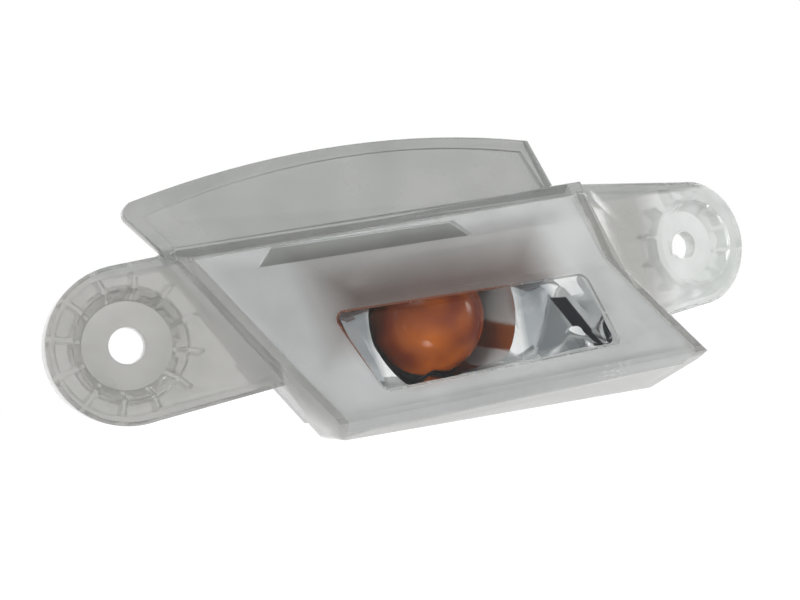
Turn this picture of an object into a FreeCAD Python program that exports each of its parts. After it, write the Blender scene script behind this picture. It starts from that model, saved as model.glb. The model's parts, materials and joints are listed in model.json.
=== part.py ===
import FreeCAD, Part
import os
import Sketcher

# Vehicle indicator lamp: a clear lens with two screw ears, a metallised reflector and an amber bulb
# in a quarter-turn holder. Millimetres. X runs along the lamp, Y runs back and Z runs up.
# The origin is midway between the two screw holes, on the plane that the ears bolt against.

os.makedirs("parts", exist_ok=True)
document = FreeCAD.newDocument("indicator_lamp")
sheet = document.addObject("Spreadsheet::Sheet", "sizes")

SIZES = [
    # Screw ears
    ("ear_pitch", 136.0),
    ("ear_radius", 15.0),
    ("ear_depth", 8.0),
    ("ear_skin", 2.0),
    ("ear_rim", 1.8),
    ("ear_bevel", 0.8),
    ("dish_mouth_radius", 10.4),
    ("dish_floor_radius", 8.4),
    ("dish_depth", 4.6),
    ("cup_wall", 1.4),
    ("screw_hole_radius", 3.5),
    ("rib_count", 12),
    ("rib_thickness", 0.9),
    ("rib_setback", 1.2),
    ("neck_left_top", 15.6),
    ("neck_left_bottom", -13.2),
    ("neck_right_top", 18.2),
    ("neck_right_bottom", -16.6),
    # Front outline of the lens
    ("left_foot_x", -32.0),
    ("left_foot_z", -26.2),
    ("left_lean", 32.5),
    ("right_foot_x", 45.0),
    ("right_foot_z", -31.0),
    ("right_knee_x", 48.6),
    ("right_knee_z", -25.4),
    ("right_lean", 15.6),
    ("crease_left_z", 16.2),
    ("crease_right_z", 18.3),
    ("left_foot_round", 3.0),
    # Side profile of the lens, at a station left of it and one right of it
    ("station_left_x", -75.0),
    ("station_right_x", 60.0),
    ("brow_top_left_y", -11.6),
    ("brow_top_right_y", -9.2),
    ("ledge_z", 9.8),
    ("ledge_left_y", -13.0),
    ("ledge_right_y", -9.7),
    ("fold_z", 0.0),
    ("fold_left_y", -14.8),
    ("fold_right_y", -11.0),
    ("tip_left_z", -21.2),
    ("tip_left_y", -14.2),
    ("tip_right_z", -23.2),
    ("tip_right_y", -30.0),
    ("heel_y", -6.0),
    ("heel_drop", 1.5),
    ("lens_wall", 2.5),
    ("nose_right_bevel", 1.6),
    ("crest_bevel", 0.9),
    # Raised band along the top of the lens
    ("band_left_x", -67.4),
    ("band_left_z", 24.6),
    ("band_left_lean", 38.3),
    ("band_apex_x", -18.0),
    ("band_apex_z", 31.8),
    ("band_right_x", 23.4),
    ("band_right_z", 28.6),
    ("band_foot_x", 28.6),
    ("band_corner_round", 2.0),
    ("band_lip_width", 2.2),
    ("band_lip_rise", 1.3),
    # Trapezoid slot under the band
    ("slot_middle_x", -18.6),
    ("slot_top_width", 40.8),
    ("slot_bottom_width", 48.4),
    ("slot_top_z", 13.7),
    ("slot_bottom_z", 10.0),
    ("slot_sink", 1.6),
    # Reflector
    ("reflector_gap", 0.6),
    ("reflector_wall", 1.6),
    ("tray_top_z", 8.0),
    ("tray_bottom_z", -19.6),
    ("tray_left_top_x", -32.0),
    ("tray_left_bottom_x", -27.0),
    ("tray_right_top_x", 32.0),
    ("tray_right_bottom_x", 37.5),
    ("tray_floor_y", -6.0),
    ("tray_back_y", 8.0),
    ("bowl_mouth_radius", 17.6),
    ("bowl_throat_radius", 13.4),
    ("facet_x", 25.0),
    ("facet_z", -6.8),
    ("facet_turn", 36.6),
    ("facet_tilt", 32.0),
    ("facet_strip_width", 3.6),
    ("facet_strip_tilt", 7.0),
    ("cheek_x", -22.4),
    ("cheek_z", -6.0),
    ("cheek_turn", 190.3),
    ("cheek_tilt", 42.0),
    ("cheek_strip_width", 4.2),
    ("cheek_strip_tilt", 16.0),
    ("stake_right_x", 29.0),
    ("stake_right_z", -16.1),
    ("stake_left_x", -21.5),
    ("stake_left_z", 5.4),
    ("stake_radius", 1.1),
    ("stake_head_radius", 2.0),
    ("stake_head_height", 0.9),
    ("post_radius", 2.4),
    # Rear housing
    ("housing_gap", 0.4),
    ("housing_wall", 2.0),
    ("housing_tongue", 3.5),
    ("flange_land", 2.0),
    ("flange_thickness", 2.4),
    ("housing_floor_y", 14.0),
    ("housing_floor_thickness", 2.4),
    ("housing_back_round", 1.5),
    ("port_radius", 13.5),
    ("port_collar_radius", 19.4),
    ("port_collar_rise", 1.6),
    ("notch_width", 7.4),
    ("notch_reach", 2.8),
    ("vent_x", 27.0),
    ("vent_z", 4.0),
    ("vent_radius", 4.6),
    ("vent_rise", 3.0),
    ("vent_bore_radius", 1.6),
    ("vent_patch_radius", 3.6),
    ("vent_patch_thickness", 0.5),
    # Bulb
    ("bulb_x", -2.6),
    ("bulb_z", -6.0),
    ("ball_radius", 12.6),
    ("ball_y", 2.6),
    ("glass_wall", 0.8),
    ("glass_foot_thickness", 2.0),
    ("glass_end_y", 25.0),
    ("stem_radius", 4.6),
    ("stem_front_y", 13.0),
    ("cap_radius", 7.5),
    ("cap_sheet", 0.5),
    ("cap_front_y", 20.0),
    ("cap_back_y", 37.0),
    ("pin_radius", 1.0),
    ("pin_reach", 1.1),
    ("pin_y", 29.5),
    ("insulator_radius", 5.4),
    ("insulator_height", 1.6),
    ("button_radius", 2.4),
    ("button_height", 1.0),
    ("filament_y", 4.0),
    ("filament_length", 7.0),
    ("filament_radius", 0.5),
    ("support_radius", 0.35),
    # Bulb holder
    ("plug_gap", 0.4),
    ("plug_wall", 2.0),
    ("plug_front_y", 11.2),
    ("lug_gap", 0.4),
    ("lug_thickness", 1.8),
    ("lug_width", 6.4),
    ("lug_reach", 2.2),
    ("lock_turn", 45.0),
    ("holder_flange_radius", 19.0),
    ("holder_flange_thickness", 2.4),
    ("seal_width", 2.0),
    ("seal_height", 1.4),
    ("seal_squeeze_gap", 0.2),
    ("socket_gap", 0.25),
    ("socket_front_y", 22.0),
    ("holder_body_radius", 11.2),
    ("holder_end_y", 47.0),
    ("grip_thickness", 2.6),
    ("grip_reach", 5.4),
    ("grip_length", 17.0),
    ("shroud_width", 20.0),
    ("shroud_depth", 14.0),
    ("shroud_length", 13.0),
    ("shroud_wall", 1.6),
    ("contact_thickness", 0.8),
    ("contact_width", 2.8),
    ("contact_spacing", 8.0),
]

for row, (alias, amount) in enumerate(SIZES, 1):
    sheet.set("A%d" % row, alias)
    sheet.set("B%d" % row, str(amount))
    sheet.setAlias("B%d" % row, alias)
document.recompute()

FRONT_PLANE = FreeCAD.Rotation(FreeCAD.Vector(1, 0, 0), 90)
SIDE_PLANE = FreeCAD.Rotation(FreeCAD.Vector(1, 1, 1), 120)
BACKWARD = FreeCAD.Placement(FreeCAD.Vector(0, 0, 0), FreeCAD.Rotation(FreeCAD.Vector(1, 0, 0), -90))


def number(text):
    """The value of an expression in the sheet's own names."""
    found = sheet.evalExpression(text)
    return float(getattr(found, "Value", found))


def bind(thing, **sizes):
    """Tie properties to expressions; two underscores stand for the point of a sub-property."""
    for field, text in sizes.items():
        thing.setExpression(field.replace("__", "."), text)
    return thing


def draw(sketch, corners):
    """A closed outline whose corners sit at bound distances from the sketch's origin.

    A corner is (u, v), or (u, v, (mu, mv)) where the edge to the next corner is an arc
    through the point (mu, mv)."""
    places = [FreeCAD.Vector(number(c[0]), number(c[1]), 0) for c in corners]
    count = len(corners)
    ends = []
    for index, corner in enumerate(corners):
        start = places[index]
        finish = places[(index + 1) % count]
        if len(corner) > 2:
            middle = FreeCAD.Vector(number(corner[2][0]), number(corner[2][1]), 0)
            edge = sketch.addGeometry(Part.Arc(start, middle, finish), False)
            turned_round = (sketch.getPoint(edge, 1) - start).Length > 1e-6
            ends.append((edge, 2, 1) if turned_round else (edge, 1, 2))
        else:
            edge = sketch.addGeometry(Part.LineSegment(start, finish), False)
            ends.append((edge, 1, 2))
    for index in range(count):
        edge, first, last = ends[index]
        follower, next_first, next_last = ends[(index + 1) % count]
        sketch.addConstraint(Sketcher.Constraint("Coincident", edge, last, follower, next_first))
    for index, corner in enumerate(corners):
        edge, first, last = ends[index]
        pin(sketch, edge, first, corner[0], corner[1], "x%d" % index, "y%d" % index)
        if len(corner) > 2:
            middle = FreeCAD.Vector(number(corner[2][0]), number(corner[2][1]), 0)
            dot = sketch.addGeometry(Part.Point(middle), True)
            pin(sketch, dot, 1, corner[2][0], corner[2][1], "mx%d" % index, "my%d" % index)
            sketch.addConstraint(Sketcher.Constraint("PointOnObject", dot, 1, edge))
    return sketch


def pin(sketch, edge, end, across, along, across_name, along_name):
    """Hold one point of a sketch at bound distances from its origin."""
    for kind, text, label in (("DistanceX", across, across_name), ("DistanceY", along, along_name)):
        index = sketch.addConstraint(Sketcher.Constraint(kind, -1, 1, edge, end, number(text)))
        sketch.renameConstraint(index, label)
        sketch.setExpression("Constraints.%s" % label, text)


def outline(name, corners, turn=FRONT_PLANE, at=None):
    """A closed sketch in the front plane, or in the side plane at a bound X."""
    sketch = document.addObject("Sketcher::SketchObject", name)
    draw(sketch, corners)
    sketch.Placement = FreeCAD.Placement(FreeCAD.Vector(0, 0, 0), turn)
    if at is not None:
        bind(sketch, Placement__Base__x=at)
    document.recompute()
    return sketch


def inset(name, base, distance, at=None, turn=FRONT_PLANE):
    """The straight-sided outline that runs a set distance inside another one."""
    corners = []
    count = base.GeometryCount
    for index in range(count):
        before = (index - 1) % count
        after = (index + 1) % count
        x0, x1, x2 = ["%s.Constraints.x%d / 1 mm" % (base.Name, k) for k in (before, index, after)]
        y0, y1, y2 = ["%s.Constraints.y%d / 1 mm" % (base.Name, k) for k in (before, index, after)]
        first_x, first_y = "(%s - %s)" % (x1, x0), "(%s - %s)" % (y1, y0)
        last_x, last_y = "(%s - %s)" % (x2, x1), "(%s - %s)" % (y2, y1)
        first = "sqrt(%s^2 + %s^2)" % (first_x, first_y)
        last = "sqrt(%s^2 + %s^2)" % (last_x, last_y)
        share = "(1 + (%s * %s + %s * %s) / (%s * %s))" % (first_x, last_x, first_y, last_y, first, last)
        across = "%s - (%s) * (%s / %s + %s / %s) / %s" % (
            x1, distance, first_y, first, last_y, last, share)
        along = "%s + (%s) * (%s / %s + %s / %s) / %s" % (
            y1, distance, first_x, first, last_x, last, share)
        corners.append((across, along))
    return outline(name, corners, turn, at)


def slab(name, sketch, front, back):
    """A front outline carried from one depth to another."""
    solid = document.addObject("Part::Extrusion", name)
    solid.Base = sketch
    solid.DirMode = "Custom"
    solid.Dir = FreeCAD.Vector(0, 1, 0)
    solid.Solid = True
    bind(solid, LengthFwd=back, LengthRev="-(%s)" % front)
    document.recompute()
    return solid


def loft(name, left, right):
    """A straight-ruled solid between the two side profiles."""
    solid = document.addObject("Part::Loft", name)
    solid.Sections = [left, right]
    solid.Solid = True
    solid.Ruled = True
    document.recompute()
    return solid


def join(name, *pieces):
    solid = document.addObject("Part::MultiFuse", name)
    solid.Shapes = list(pieces)
    document.recompute()
    return solid


def overlap(name, first, second):
    solid = document.addObject("Part::Common", name)
    solid.Base = first
    solid.Tool = second
    document.recompute()
    return solid


def cut(name, first, second):
    solid = document.addObject("Part::Cut", name)
    solid.Base = first
    solid.Tool = second
    document.recompute()
    return solid


def rod(name, radius, x, z, front, back):
    """A round bar that runs back along Y."""
    solid = document.addObject("Part::Cylinder", name)
    solid.Placement = BACKWARD
    bind(solid, Radius=radius, Height="(%s) - (%s)" % (back, front))
    bind(solid, Placement__Base__x=x, Placement__Base__y=front, Placement__Base__z=z)
    return solid


def taper(name, front_radius, back_radius, x, z, front, back):
    """A cone frustum that runs back along Y."""
    solid = document.addObject("Part::Cone", name)
    solid.Placement = BACKWARD
    bind(solid, Radius1=front_radius, Radius2=back_radius, Height="(%s) - (%s)" % (back, front))
    bind(solid, Placement__Base__x=x, Placement__Base__y=front, Placement__Base__z=z)
    return solid


def about_y(turn):
    """A turn in degrees about an axis along Y."""
    return FreeCAD.Placement(FreeCAD.Vector(0, 0, 0), FreeCAD.Rotation(FreeCAD.Vector(0, 1, 0), turn))


def block(name, x, y, z):
    """A square-cornered bar between pairs of bound X, Y and Z limits."""
    solid = document.addObject("Part::Box", name)
    bind(solid, Length="(%s) - (%s)" % (x[1], x[0]), Width="(%s) - (%s)" % (y[1], y[0]))
    bind(solid, Height="(%s) - (%s)" % (z[1], z[0]))
    bind(solid, Placement__Base__x=x[0], Placement__Base__y=y[0], Placement__Base__z=z[0])
    return solid


def turned(name, corners, x="sizes.bulb_x", z="sizes.bulb_z"):
    """A body turned about an axis along Y from an outline of (radius, y) corners."""
    body = document.addObject("PartDesign::Body", name)
    planes = {item.Role: item for item in body.Origin.OriginFeatures}
    sketch = body.newObject("Sketcher::SketchObject", name + "_section")
    sketch.AttachmentSupport = [(planes["XY_Plane"], "")]
    sketch.MapMode = "FlatFace"
    draw(sketch, corners)
    spin = body.newObject("PartDesign::Revolution", name + "_turn")
    spin.Profile = sketch
    spin.ReferenceAxis = (sketch, ["V_Axis"])
    spin.Angle = 360.0
    bind(body, Placement__Base__x=x, Placement__Base__z=z)
    document.recompute()
    return body


def spoked(body, reach, width, depth, count, turn):
    """Add straight spokes to a turned body, patterned about its axis.

    reach and depth are the bound (start, end) of one spoke along the radius and along Y."""
    planes = {item.Role: item for item in body.Origin.OriginFeatures}
    sketch = body.newObject("Sketcher::SketchObject", body.Name + "_spoke_outline")
    sketch.AttachmentSupport = [(planes["XZ_Plane"], "")]
    sketch.MapMode = "FlatFace"
    bind(sketch, AttachmentOffset__Base__z="-(%s)" % depth[1])
    half = "(%s) / 2" % width
    draw(sketch, [(reach[0], "-" + half), (reach[1], "-" + half), (reach[1], half), (reach[0], half)])
    spoke = body.newObject("PartDesign::Pad", body.Name + "_spoke")
    spoke.Profile = sketch
    bind(spoke, Length="(%s) - (%s)" % (depth[1], depth[0]))
    document.recompute()
    ring = body.newObject("PartDesign::PolarPattern", body.Name + "_spokes")
    ring.Originals = [spoke]
    ring.Axis = (planes["Y_Axis"], [""])
    ring.Angle = 360.0
    bind(ring, Occurrences=count)
    body.Tip = ring
    body.Placement.Rotation = about_y(number(turn)).Rotation
    document.recompute()
    return body


def eased(kind, name, base, *picks):
    """Fillet or chamfer the edges of a solid; a pick is a bound size and a test that chooses edges."""
    document.recompute()
    edges = []
    for index, edge in enumerate(base.Shape.Edges, 1):
        for amount, chosen in picks:
            if chosen(edge):
                edges.append((index, number(amount), number(amount)))
                break
    solid = document.addObject(kind, name)
    solid.Base = base
    solid.Edges = edges
    document.recompute()
    return solid


def middle_of(edge):
    return edge.valueAt(0.5 * (edge.FirstParameter + edge.LastParameter))


FINISHED = []


def keep(node, solid):
    """Mark a finished piece; its label names its file."""
    solid.Label = node
    FINISHED.append((node, solid))


# Lens surfaces: two side profiles, ruled from left to right, bounded by the front outline

BACK = "40"
TOP = "40"
FAR_FRONT = "-60"


def left_edge(z):
    """X of the lens's left end at a height."""
    return "(sizes.left_foot_x - (%s - sizes.left_foot_z) * tan(sizes.left_lean))" % z


def right_edge(z):
    """X of the lens's right end at a height above its knee."""
    return "(sizes.right_knee_x - (%s - sizes.right_knee_z) * tan(sizes.right_lean))" % z


def side_profile(side):
    station = "sizes.station_%s_x" % side
    heel_z = ("sizes.left_foot_z + (%s - sizes.left_foot_x) * (sizes.right_foot_z - sizes.left_foot_z)"
              " / (sizes.right_foot_x - sizes.left_foot_x) - sizes.heel_drop") % station
    brow = "sizes.brow_top_%s_y" % side
    return outline("profile_" + side, [
        (BACK, TOP),
        (brow, TOP),
        (brow, "sizes.crease_%s_z - sizes.lens_wall" % side),
        ("sizes.ledge_%s_y" % side, "sizes.ledge_z"),
        ("sizes.fold_%s_y" % side, "sizes.fold_z"),
        ("sizes.tip_%s_y" % side, "sizes.tip_%s_z" % side),
        ("sizes.heel_y", heel_z),
        (BACK, heel_z),
    ], SIDE_PLANE, station)


profile_left = side_profile("left")
profile_right = side_profile("right")
skin = loft("skin", profile_left, profile_right)


def sunk_skin(name, distance):
    """The lens's outer skin moved in by a distance."""
    sides = []
    for side, base in (("left", profile_left), ("right", profile_right)):
        station = "sizes.station_%s_x" % side
        sides.append(inset("%s_%s" % (name, side), base, distance, station, SIDE_PLANE))
    return loft(name, sides[0], sides[1])


inner_skin = sunk_skin("inner_skin", "sizes.lens_wall")
lip_skin = sunk_skin("lip_skin", "-sizes.band_lip_rise")
slot_skin = sunk_skin("slot_skin", "sizes.slot_sink")
reflector_skin = sunk_skin("reflector_skin", "sizes.lens_wall + sizes.reflector_gap")

body_outline = outline("body_outline", [
    ("sizes.left_foot_x", "sizes.left_foot_z"),
    ("sizes.right_foot_x", "sizes.right_foot_z"),
    ("sizes.right_knee_x", "sizes.right_knee_z"),
    (right_edge("sizes.crease_right_z"), "sizes.crease_right_z"),
    (left_edge("sizes.crease_left_z"), "sizes.crease_left_z"),
])
chamber_outline = inset("chamber_outline", body_outline, "sizes.lens_wall")


def at_left_foot(edge):
    spot = middle_of(edge)
    along_y = abs(edge.tangentAt(edge.FirstParameter).y) > 0.999
    return along_y and abs(spot.z - number("sizes.left_foot_z")) < 4 and spot.x < 0


body_slab = slab("body_slab", body_outline, FAR_FRONT, "0")
body_prism = eased("Part::Fillet", "body_prism", body_slab, ("sizes.left_foot_round", at_left_foot))
body_sharp = overlap("body_sharp", skin, body_prism)


def on_right_end(edge):
    spot = middle_of(edge)
    in_front = spot.y < number("sizes.heel_y")
    beside_window = in_front and number("sizes.tip_right_z") < spot.z < number("sizes.fold_z")
    return beside_window and abs(spot.x - number(right_edge("%g" % spot.z))) < 0.05


foremost = min(body_sharp.Shape.Edges, key=lambda edge: middle_of(edge).y if edge.Length > 40 else 0)
body_blank = eased("Part::Chamfer", "body_blank", body_sharp, ("sizes.nose_right_bevel", on_right_end),
                   ("sizes.crest_bevel", lambda edge: edge.isSame(foremost)))


# Lens: one clear moulding with a hollow nose, a lipped band along the top and an ear at each end

band_low_left = "(sizes.crease_left_z - sizes.lens_wall)"
band_low_right = "(sizes.crease_right_z - sizes.lens_wall)"
lip_slant = "(sizes.band_lip_width / cos(sizes.band_left_lean))"
lip_left_z = "(sizes.band_left_z - sizes.band_lip_width)"


def band_edge(z):
    """X of the band's left end at a height."""
    return "(sizes.band_left_x - (%s - sizes.band_left_z) * tan(sizes.band_left_lean))" % z


band_outline = outline("band_outline", [
    (band_edge(band_low_left), band_low_left),
    ("sizes.band_foot_x", band_low_right),
    ("sizes.band_right_x", "sizes.band_right_z", ("sizes.band_apex_x", "sizes.band_apex_z")),
    ("sizes.band_left_x", "sizes.band_left_z"),
])
gutter_outline = outline("gutter_outline", [
    (band_edge(band_low_left) + " + " + lip_slant, band_low_left),
    ("sizes.band_foot_x - sizes.band_lip_width", band_low_right),
    ("sizes.band_right_x - sizes.band_lip_width", "sizes.band_right_z - sizes.band_lip_width",
     ("sizes.band_apex_x", "sizes.band_apex_z - sizes.band_lip_width")),
    (band_edge(lip_left_z) + " + " + lip_slant, lip_left_z),
])
band_sharp = slab("band_sharp", band_outline, FAR_FRONT, "0")


def at_band_corner(edge):
    spot = middle_of(edge)
    along_y = abs(edge.tangentAt(edge.FirstParameter).y) > 0.999
    on_left = spot.x < number("sizes.band_apex_x")
    return along_y and on_left and abs(spot.z - number("sizes.band_left_z")) < 0.01


band_slab = eased("Part::Fillet", "band_slab", band_sharp, ("sizes.band_corner_round", at_band_corner))
gutter_slab = slab("gutter_slab", gutter_outline, FAR_FRONT, "0")
band_plate = cut("band_plate", overlap("band_solid", skin, band_slab), inner_skin)
lip_ring = cut("lip_ring", cut("lip_slab", band_slab, gutter_slab), body_slab)
band_lip = cut("band_lip", overlap("lip_solid", lip_skin, lip_ring), inner_skin)

EARS = (("left", -1, "sizes.neck_left_top", "sizes.neck_left_bottom", left_edge, "1"),
        ("right", 1, "sizes.neck_right_top", "sizes.neck_right_bottom", right_edge, "-1"))
blanks = [body_blank, band_plate, band_lip]
hollows = [overlap("chamber", inner_skin, slab("chamber_slab", chamber_outline, FAR_FRONT, "3"))]
cups = []
openings = []
for side, sign, neck_top, neck_bottom, edge_at, bite in EARS:
    centre = "(%d * sizes.ear_pitch / 2)" % sign
    inner_top = ("%s + %s" % (edge_at(neck_top), bite), neck_top)
    inner_bottom = ("%s + %s" % (edge_at(neck_bottom), bite), neck_bottom)
    outer_top = (centre, "sizes.ear_radius")
    outer_bottom = (centre, "-sizes.ear_radius")
    corners = [outer_bottom, inner_bottom, inner_top, outer_top]
    if sign > 0:
        corners.reverse()
    neck_outline = outline("neck_outline_" + side, corners)
    neck_hollow = inset("neck_hollow_" + side, neck_outline, "sizes.ear_rim")
    ear_sharp = join("ear_sharp_" + side, slab("neck_" + side, neck_outline, "-sizes.ear_depth", "0"),
                     rod("ear_" + side, "sizes.ear_radius", centre, "0", "-sizes.ear_depth", "0"))
    ear_sharp.Refine = True
    inner_x = 0.5 * (number(inner_top[0]) + number(inner_bottom[0]))

    def on_ear_front(edge):
        spot = middle_of(edge)
        return abs(spot.y + number("sizes.ear_depth")) < 1e-4 and abs(spot.x - inner_x) > 0.5

    blanks.append(eased("Part::Chamfer", "ear_blank_" + side, ear_sharp, ("sizes.ear_bevel", on_ear_front)))
    hollow_front = "sizes.ear_skin - sizes.ear_depth"
    hollows.append(slab("neck_pocket_" + side, neck_hollow, hollow_front, "1"))
    hollows.append(rod("ear_pocket_" + side, "sizes.ear_radius - sizes.ear_rim", centre, "0",
                       hollow_front, "1"))

    # The ear's cup and its ribs, patterned about the screw hole
    cup = turned("cup_" + side, [
        ("sizes.screw_hole_radius", "0"),
        ("sizes.screw_hole_radius", "sizes.dish_depth - sizes.ear_depth"),
        ("sizes.dish_floor_radius", "sizes.dish_depth - sizes.ear_depth"),
        ("sizes.dish_mouth_radius", "-sizes.ear_depth"),
        ("sizes.dish_mouth_radius + sizes.cup_wall", "-sizes.ear_depth"),
        ("sizes.dish_floor_radius + sizes.cup_wall", "0"),
    ], centre, "0")
    spoked(cup, ("sizes.dish_floor_radius + sizes.cup_wall / 2", "sizes.ear_radius - sizes.ear_rim / 2"),
           "sizes.rib_thickness", ("sizes.ear_skin / 2 - sizes.ear_depth", "-sizes.rib_setback"),
           "sizes.rib_count", "180 / sizes.rib_count")
    cups.append(cup)
    openings.append(taper("dish_" + side, "sizes.dish_mouth_radius", "sizes.dish_floor_radius", centre, "0",
                          "-sizes.ear_depth", "sizes.dish_depth - sizes.ear_depth"))
    openings.append(rod("screw_hole_" + side, "sizes.screw_hole_radius", centre, "0", FAR_FRONT, "1"))

slot_outline = outline("slot_outline", [
    ("sizes.slot_middle_x - sizes.slot_bottom_width / 2", "sizes.slot_bottom_z"),
    ("sizes.slot_middle_x + sizes.slot_bottom_width / 2", "sizes.slot_bottom_z"),
    ("sizes.slot_middle_x + sizes.slot_top_width / 2", "sizes.slot_top_z"),
    ("sizes.slot_middle_x - sizes.slot_top_width / 2", "sizes.slot_top_z"),
])
slot_slab = slab("slot_slab", slot_outline, FAR_FRONT, "0")
openings.append(cut("slot_cutter", slot_slab, slot_skin))

lens_blank = join("lens_blank", *blanks)
lens_hollow = cut("lens_hollow", lens_blank, join("lens_hollows", *hollows))
lens_cups = join("lens_cups", lens_hollow, *cups)
keep("outer_lens", cut("lens", lens_cups, join("lens_openings", *openings)))


# Reflector: a metallised tray behind the window, with a round bowl at the bulb and a slanted facet

tray_outline = outline("tray_outline", [
    ("sizes.tray_left_bottom_x", "sizes.tray_bottom_z"),
    ("sizes.tray_right_bottom_x", "sizes.tray_bottom_z"),
    ("sizes.tray_right_top_x", "sizes.tray_top_z"),
    ("sizes.tray_left_top_x", "sizes.tray_top_z"),
])
tray_outer_outline = inset("tray_outer_outline", tray_outline, "-sizes.reflector_wall")
tray_block = overlap("tray_block", reflector_skin,
                     slab("tray_outer", tray_outer_outline, FAR_FRONT, "sizes.tray_back_y"))
tray_mouth = slab("tray_mouth", tray_outline, FAR_FRONT, "sizes.tray_floor_y")
tray_space = slab("tray_space", tray_outline, FAR_FRONT, "sizes.tray_back_y + 1")
BOWL_STEPS = 2


def bowl_curve(extra):
    """The bowl's corners from its throat to its mouth, along a parabola about the bulb's axis."""
    corners = []
    gain = "(sizes.bowl_mouth_radius^2 - sizes.bowl_throat_radius^2)"
    for step in range(BOWL_STEPS + 1):
        share = step / BOWL_STEPS
        radius = "sqrt(sizes.bowl_throat_radius^2 + %g * %s)" % (share, gain)
        depth = "sizes.tray_back_y + %g * (sizes.tray_floor_y - sizes.tray_back_y)" % share
        corners.append((radius + " + " + extra, depth))
    return corners


bowl_inside = turned("bowl_inside", [
    ("0", "sizes.tray_floor_y - 1"),
    ("0", "sizes.tray_back_y + 1"),
    ("sizes.bowl_throat_radius", "sizes.tray_back_y + 1"),
    *bowl_curve("0"),
    ("sizes.bowl_mouth_radius", "sizes.tray_floor_y - 1"),
])
bowl_outside = turned("bowl_outside", [
    ("0", "sizes.tray_floor_y"),
    ("0", "sizes.tray_back_y + 2"),
    ("sizes.bowl_throat_radius + sizes.reflector_wall", "sizes.tray_back_y + 2"),
    *bowl_curve("sizes.reflector_wall"),
])
tray_floor_back = "(sizes.tray_floor_y + sizes.reflector_wall)"
back_space = slab("back_space", tray_outline, tray_floor_back, "sizes.tray_back_y + 1")
tray_shell = cut("tray_shell", tray_block,
                 join("tray_cuts", tray_mouth, overlap("bowl_cut", bowl_inside, tray_space),
                      cut("back_cut", back_space, bowl_outside)))
tray_width = "(sizes.tray_right_bottom_x - sizes.tray_left_top_x)"
facet_mouth = slab("facet_mouth", tray_outline, FAR_FRONT, "sizes.tray_floor_y + sizes.reflector_wall / 2")


def facet(name):
    """A mirror that slants forward in the tray, with a flatter strip along its foot.

    The foot runs through the point (x, z) on the tray's floor, and the mirror rises in the
    direction that the turn gives, anticlockwise from +X."""
    strip = "sizes.%s_strip_width" % name
    strip_rise = "%s * tan(sizes.%s_strip_tilt)" % (strip, name)
    section = document.addObject("Sketcher::SketchObject", name + "_section")
    draw(section, [
        ("0", "0"),
        (strip, "-" + strip_rise),
        (tray_width, "-%s - (%s - %s) * tan(sizes.%s_tilt)" % (strip_rise, tray_width, strip, name)),
        (tray_width, "sizes.reflector_wall"),
        ("0", "sizes.reflector_wall"),
    ])
    section.Placement = about_y(-number("sizes.%s_turn" % name))
    bind(section, Placement__Base__x="sizes.%s_x" % name, Placement__Base__y="sizes.tray_floor_y")
    bind(section, Placement__Base__z="sizes.%s_z" % name)
    bar = document.addObject("Part::Extrusion", name + "_bar")
    bar.Base = section
    bar.DirMode = "Normal"
    bar.Solid = True
    bar.Symmetric = True
    bind(bar, LengthFwd="2 * " + tray_width)
    document.recompute()
    return overlap(name, overlap(name + "_in_tray", bar, facet_mouth), reflector_skin)


stake_holes = join("stake_holes", *[
    rod("stake_hole_" + side, "sizes.stake_radius", "sizes.stake_%s_x" % side, "sizes.stake_%s_z" % side,
        "sizes.tray_floor_y - 2", tray_floor_back + " + 2")
    for side in ("left", "right")])
tray_with_facets = join("tray_with_facets", tray_shell, facet("facet"), facet("cheek"))
keep("reflector", cut("reflector_shell", tray_with_facets, stake_holes))


# Rear housing: a tub whose tongue fits inside the lens, with posts for the reflector and the bulb's port

floor_back = "(sizes.housing_floor_y + sizes.housing_floor_thickness)"
collar_back = "(%s + sizes.port_collar_rise)" % floor_back
tub_outer = inset("tub_outer", chamber_outline, "sizes.housing_gap")
tub_inner = inset("tub_inner", chamber_outline, "sizes.housing_gap + sizes.housing_wall")
flange_outline = inset("flange_outline", chamber_outline, "-sizes.flange_land")
tub = slab("tub", tub_outer, "-sizes.housing_tongue", floor_back)


def on_tub_back(edge):
    return abs(middle_of(edge).y - number(floor_back)) < 1e-4


tub_round = eased("Part::Fillet", "tub_round", tub, ("sizes.housing_back_round", on_tub_back))
tub_hollow = slab("tub_hollow", tub_inner, "-sizes.housing_tongue - 1", "sizes.housing_floor_y")
tub_shell = cut("tub_shell", tub_round, tub_hollow)
vent_back = "(%s + sizes.vent_rise)" % floor_back
housing_parts = [
    tub_shell,
    cut("flange", slab("flange_plate", flange_outline, "0", "sizes.flange_thickness"), tub_hollow),
    rod("port_collar", "sizes.port_collar_radius", "sizes.bulb_x", "sizes.bulb_z",
        "sizes.housing_floor_y", collar_back),
    rod("vent_boss", "sizes.vent_radius", "sizes.vent_x", "sizes.vent_z", "sizes.housing_floor_y", vent_back),
]
for side in ("left", "right"):
    x = "sizes.stake_%s_x" % side
    z = "sizes.stake_%s_z" % side
    housing_parts.append(rod("post_" + side, "sizes.post_radius", x, z, tray_floor_back,
                             "sizes.housing_floor_y + sizes.housing_floor_thickness / 2"))
    housing_parts.append(rod("stake_" + side, "sizes.stake_radius", x, z,
                             "sizes.tray_floor_y - sizes.stake_head_height / 2", tray_floor_back + " + 1"))
    housing_parts.append(rod("stake_head_" + side, "sizes.stake_head_radius", x, z,
                             "sizes.tray_floor_y - sizes.stake_head_height", "sizes.tray_floor_y"))
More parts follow.
